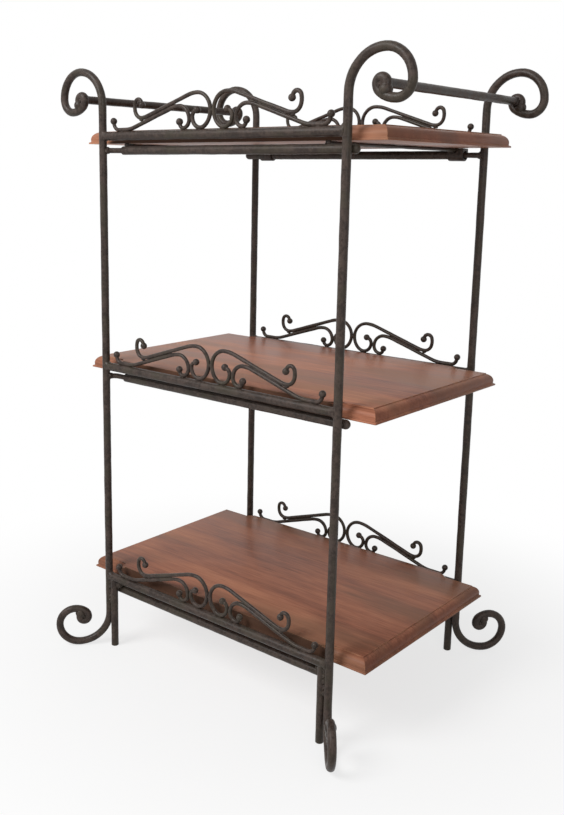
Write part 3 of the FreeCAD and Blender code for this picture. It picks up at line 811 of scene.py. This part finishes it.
class RACK_OT_galleries(bpy.types.Operator):
    """Bend the scrolls of the six galleries and weld them to the rails and to one another"""

    bl_idname = "rack.galleries"
    bl_label = "Galleries"

    def execute(self, context):
        sizes = context.scene.rack_gallery
        for tier in TIERS:
            for side in SIDES:
                rail = centre(f"rail_{tier}_{side}")
                seat = Vector((0, rail.y, rail.z + bar_radius() + sizes.rod / 2))
                welds = bmesh.new()
                for end, x_sign in ENDS.items():
                    for kind, bend in (("large", self.large), ("small", self.small)):
                        mesh = bmesh.new()
                        bend(mesh, welds, sizes, seat, X_AXIS * x_sign)
                        node = f"scroll_{kind}_{tier}_{side}_{end}"
                        iron_piece(f"{node}_rod", mesh, node, slot="scrollwork")
                iron_piece(f"welds_gallery_{tier}_{side}", welds, slot="scrollwork")
        return {"FINISHED"}

    def start(self, mesh, sizes, seat, out, offset):
        """The rod starts at its foot, at its lowest point, towards the middle of the rack."""
        return Rod(mesh, seat + out * offset, -out, Z_AXIS, sizes.rod / 2, sides=18, pitch=0.0035)

    def large(self, mesh, welds, sizes, seat, out):
        """The outer scroll; where the two meet in the middle, the right one adds the weld."""
        rod_r = sizes.rod / 2
        rod = self.start(mesh, sizes, seat, out, sizes.large_offset)
        bead(welds, rod.place - Z_AXIS * rod_r, sizes.weld, stretch=1.6)
        rod.bend(sizes.large_foot, sizes.large_rise)
        meeting = rod.place + rod.side * sizes.large_loop - out * sizes.large_loop
        if out.x > 0:
            bead(welds, Vector((0, meeting.y, meeting.z)), sizes.weld, stretch=0.9)
        rod.bend(sizes.large_loop, math.pi - sizes.large_rise)
        rod.bend(sizes.large_crest, sizes.slope)
        rod.run(sizes.large_run)
        bead(welds, rod.place + rod.side * rod_r, sizes.weld, stretch=1.5)
        rod.bend(sizes.large_heel, sizes.slope, -1)
        bead(welds, rod.place - Z_AXIS * rod_r, sizes.weld, stretch=1.8)
        rod.bend(sizes.large_hook, sizes.large_hook_turn, -1)
        rod.bend(sizes.large_side, sizes.large_side_turn, -1)
        rod.bend(sizes.large_end, sizes.large_end_turn, -1)
        rod.knob(sizes.ball / 2)
        rod.turn_round(Z_AXIS)
        rod.bend(sizes.large_foot, QUARTER_TURN)
        rod.bend(sizes.large_eye, sizes.large_eye_turn)
        rod.knob(sizes.ball / 2)

    def small(self, mesh, welds, sizes, seat, out):
        """The inner scroll, whose straight run lies along the large one's and settles on the rail."""
        rod_r = sizes.rod / 2
        rod = self.start(mesh, sizes, seat, out, sizes.small_offset)
        bead(welds, rod.place - Z_AXIS * rod_r, sizes.weld, stretch=1.6)
        rod.bend(sizes.small_foot, QUARTER_TURN)
        rod.bend(sizes.small_loop, QUARTER_TURN)
        rod.bend(sizes.small_crest, sizes.slope)
        groove = rod.place - rod.side * rod_r
        groove_end = groove + rod.ahead * sizes.run_weld
        straight_bar(welds, groove, groove_end, sizes.weld / 4, sides=8, bevel=0.0003)
        settle = sizes.small_heel * (1 - math.cos(sizes.slope))
        rod.run((rod.place.z - seat.z - settle) / math.sin(sizes.slope))
        rod.bend(sizes.small_heel, sizes.slope, -1)
        flat_middle = rod.place + rod.ahead * (sizes.small_flat / 2)
        bead(welds, flat_middle - Z_AXIS * rod_r, sizes.weld, stretch=2.4)
        rod.run(sizes.small_flat)
        rod.bend(sizes.small_end, sizes.small_end_turn, -1)
        rod.knob(sizes.ball / 2)
        rod.turn_round(Z_AXIS)
        rod.bend(sizes.small_eye, sizes.small_eye_turn)
        rod.knob(sizes.ball / 2)


class RACK_OT_boards(bpy.types.Operator):
    """Lay the three loose boards"""

    bl_idname = "rack.boards"
    bl_label = "Boards"

    def execute(self, context):
        for tier in TIERS:
            mesh = softened_copy(f"board_{tier}", context.scene.rack_bars.board_edge)
            material = bpy.data.materials[f"wood_{tier}"]
            new_piece(f"shelf_board_{tier}", mesh, material, "wood", f"shelf_{tier}", f"board_{tier}")
        return {"FINISHED"}


class RACK_OT_welds(bpy.types.Operator):
    """Weld the frame together and seat the top ties in their saddles"""

    bl_idname = "rack.welds"
    bl_label = "Welds"

    def execute(self, context):
        bars = context.scene.rack_bars
        for side in SIDES:
            mesh = bmesh.new()
            for end in ENDS:
                self.groove_weld(mesh, bars, side, end)
                self.corner_welds(mesh, bars, side, end)
                for tier in TIERS[1:]:
                    self.low_bar_weld(mesh, bars, tier, side, end)
                for tier in TIERS:
                    self.tie_weld(mesh, tier, side, end)
            iron_piece(f"welds_{side}", mesh)
        saddles = softened_copy("saddles_top", bars.weld / 10)
        iron_piece("saddles_top_straps", saddles, "saddles_top")
        return {"FINISHED"}

    def inner_y(self, side):
        """Where handles and lower bars touch the uprights, on their side towards the middle."""
        return centre(f"rail_top_{side}").y - bar_radius() * SIDES[side]

    def groove_weld(self, mesh, bars, side, end, steps=5):
        """A long weld fills the groove between the leg and the upright, up to the rail."""
        leg, rail = centre(f"leg_{side}_{end}"), centre(f"rail_bottom_{side}")
        middle_x = (leg.x + bars.post_x * ENDS[end]) / 2
        low, high = rail.z - bars.leg_weld, rail.z
        for number in range(steps + 1):
            height = low + (high - low) * number / steps
            bead(mesh, Vector((middle_x, leg.y, height)), bar_radius() * GROOVE_WELD, stretch=0.8)

    def corner_welds(self, mesh, bars, side, end):
        """The handle on its scroll, the bottom lower bar on the leg, and a lump between bar and rail."""
        inner_y, bar_r = self.inner_y(side), bar_radius()
        handle, leg = centre(f"handle_{end}"), centre(f"leg_{side}_{end}")
        low_z, rail_z = centre(f"bar_bottom_{side}").z, centre(f"rail_bottom_{side}").z
        lump_x = leg.x - bar_r * ENDS[end]
        bead(mesh, Vector((handle.x, inner_y, handle.z)), bar_r * HANDLE_WELD)
        bead(mesh, Vector((leg.x, inner_y, low_z)), bars.weld, stretch=1.3)
        bead(mesh, Vector((lump_x, inner_y, (low_z + rail_z) / 2)), bar_r * CORNER_WELD)

    def low_bar_weld(self, mesh, bars, tier, side, end):
        """A lower bar is welded to the upright that it passes, and its spigot to the other one."""
        x_sign, y_sign = ENDS[end], SIDES[side]
        bar_z = centre(f"bar_{tier}_{side}").z
        if x_sign == -y_sign:
            bead(mesh, Vector((bars.post_x * x_sign, self.inner_y(side), bar_z)), bars.weld, stretch=1.3)
        else:
            post = Vector((bars.post_x * x_sign, centre(f"rail_top_{side}").y, bar_z))
            root = Vector((-x_sign, -y_sign, 0)) * bar_radius() * SPIGOT_ROOT
            bead(mesh, post + root, bars.spigot * SPIGOT_WELD)

    def tie_weld(self, mesh, tier, side, end):
        """The end of a tie on the bar that carries it."""
        tie, span = centre(f"ties_{tier}"), extent(f"ties_{tier}")
        reach = Vector(((span.x - span.z) / 2 * ENDS[end], (span.y - span.z) / 2 * SIDES[side], 0))
        bead(mesh, tie + reach, span.z * TIE_WELD, stretch=1.2)


class RACK_OT_stage(bpy.types.Operator):
    """Add the floor, the lights and the camera"""

    bl_idname = "rack.stage"
    bl_label = "Stage"

    def execute(self, context):
        settings = context.scene.rack_stage
        self.add_camera(settings)
        self.add_floor(settings)
        self.add_world(settings)
        self.add_lamp("key", KEY_PLACE, settings.key)
        self.add_lamp("fill", FILL_PLACE, settings.fill)
        context.scene.view_settings.view_transform = "Standard"
        return {"FINISHED"}

    def add_camera(self, settings):
        data = bpy.data.cameras.new("camera")
        data.lens = settings.lens
        data.sensor_width = 36.0
        data.shift_x, data.shift_y = settings.shift
        data.clip_start, data.clip_end = 0.05, 60.0
        camera = add_object("camera", data)
        camera.location = settings.camera
        camera.rotation_euler = settings.turn
        bpy.context.scene.camera = camera

    def seen_rays(self, nodes):
        """1 for rays that see the surroundings, straight, in a reflection or through glass."""
        rays = nodes.add("ShaderNodeLightPath")
        seen = nodes.math("MAXIMUM", rays.outputs["Is Camera Ray"], rays.outputs["Is Glossy Ray"])
        return nodes.math("MAXIMUM", seen, rays.outputs["Is Transmission Ray"])

    def add_floor(self, settings):
        """Matt floor near the rack, so that it keeps a shadow, fading to plain white away from it."""
        material, nodes = new_material("floor")
        place = nodes.add("ShaderNodeTexCoord").outputs["Object"]
        away = nodes.add("ShaderNodeVectorMath", {0: place}, operation="LENGTH").outputs["Value"]
        spread = nodes.between(away, 0.25, 0.85, 0.72, 1.0)
        white = nodes.add("ShaderNodeEmission", {"Color": (1, 1, 1), "Strength": 1.0})
        matt = nodes.add("ShaderNodeBsdfDiffuse", {"Color": tuple(settings.floor)})
        both = nodes.add("ShaderNodeMixShader", {0: nodes.math("MULTIPLY", self.seen_rays(nodes), spread)})
        nodes.fill(both.inputs[1], matt.outputs[0])
        nodes.fill(both.inputs[2], white.outputs[0])
        finish_material(nodes, both)
        mesh = bmesh.new()
        bmesh.ops.create_grid(mesh, x_segments=1, y_segments=1, size=FLOOR_REACH)
        add_mesh("floor", mesh, material)

    def add_world(self, settings):
        """Soft light from all round, seen and reflected as plain white."""
        world = bpy.data.worlds.new("studio")
        bpy.context.scene.world = world
        world.use_nodes = True
        world.node_tree.nodes.clear()
        nodes = NodeTree(world.node_tree)
        soft = nodes.add("ShaderNodeBackground", {"Color": (1, 1, 1), "Strength": settings.room})
        white = nodes.add("ShaderNodeBackground", {"Color": (1, 1, 1), "Strength": 1.0})
        both = nodes.add("ShaderNodeMixShader", {0: self.seen_rays(nodes)})
        nodes.fill(both.inputs[1], soft.outputs[0])
        nodes.fill(both.inputs[2], white.outputs[0])
        nodes.add("ShaderNodeOutputWorld", {"Surface": both.outputs[0]})

    def add_lamp(self, name, place, power):
        """A round soft lamp turned to the middle of the rack."""
        data = bpy.data.lights.new(name, "AREA")
        data.shape = "DISK"
        data.size = LAMP_SIZE
        data.energy = power
        lamp = add_object(name, data)
        lamp.location = place
        lamp.rotation_euler = (LAMP_TARGET - place).to_track_quat("-Z", "Y").to_euler()


class RACK_PT_panel(bpy.types.Panel):
    """Buttons for the steps that make the rack"""

    bl_label = "Bakers Rack"
    bl_idname = "RACK_PT_panel"
    bl_space_type = "VIEW_3D"
    bl_region_type = "UI"
    bl_category = "Bakers Rack"

    def draw(self, context):
        for operator in STEPS:
            self.layout.operator(operator.bl_idname)


STEPS = (
    RACK_OT_finishes,
    RACK_OT_uprights,
    RACK_OT_bars,
    RACK_OT_spigots_and_ties,
    RACK_OT_galleries,
    RACK_OT_boards,
    RACK_OT_welds,
    RACK_OT_stage,
)
GROUPS = {
    "rack_bars": RackBarSizes,
    "rack_uprights": RackUprightSizes,
    "rack_gallery": RackGallerySizes,
    "rack_colours": RackFinishColours,
    "rack_stage": RackStageSettings,
}
CLASSES = (*GROUPS.values(), *STEPS, RACK_PT_panel)


def register():
    for kind in CLASSES:
        bpy.utils.register_class(kind)
    for name, kind in GROUPS.items():
        setattr(bpy.types.Scene, name, bpy.props.PointerProperty(type=kind))


def unregister():
    for name in GROUPS:
        delattr(bpy.types.Scene, name)
    for kind in reversed(CLASSES):
        bpy.utils.unregister_class(kind)


def main():
    register()
    bpy.ops.rack.finishes()
    bpy.ops.rack.uprights()
    bpy.ops.rack.bars()
    bpy.ops.rack.spigots_and_ties()
    bpy.ops.rack.galleries()
    bpy.ops.rack.boards()
    bpy.ops.rack.welds()
    bpy.ops.rack.stage()


if __name__ == "__main__":
    main()
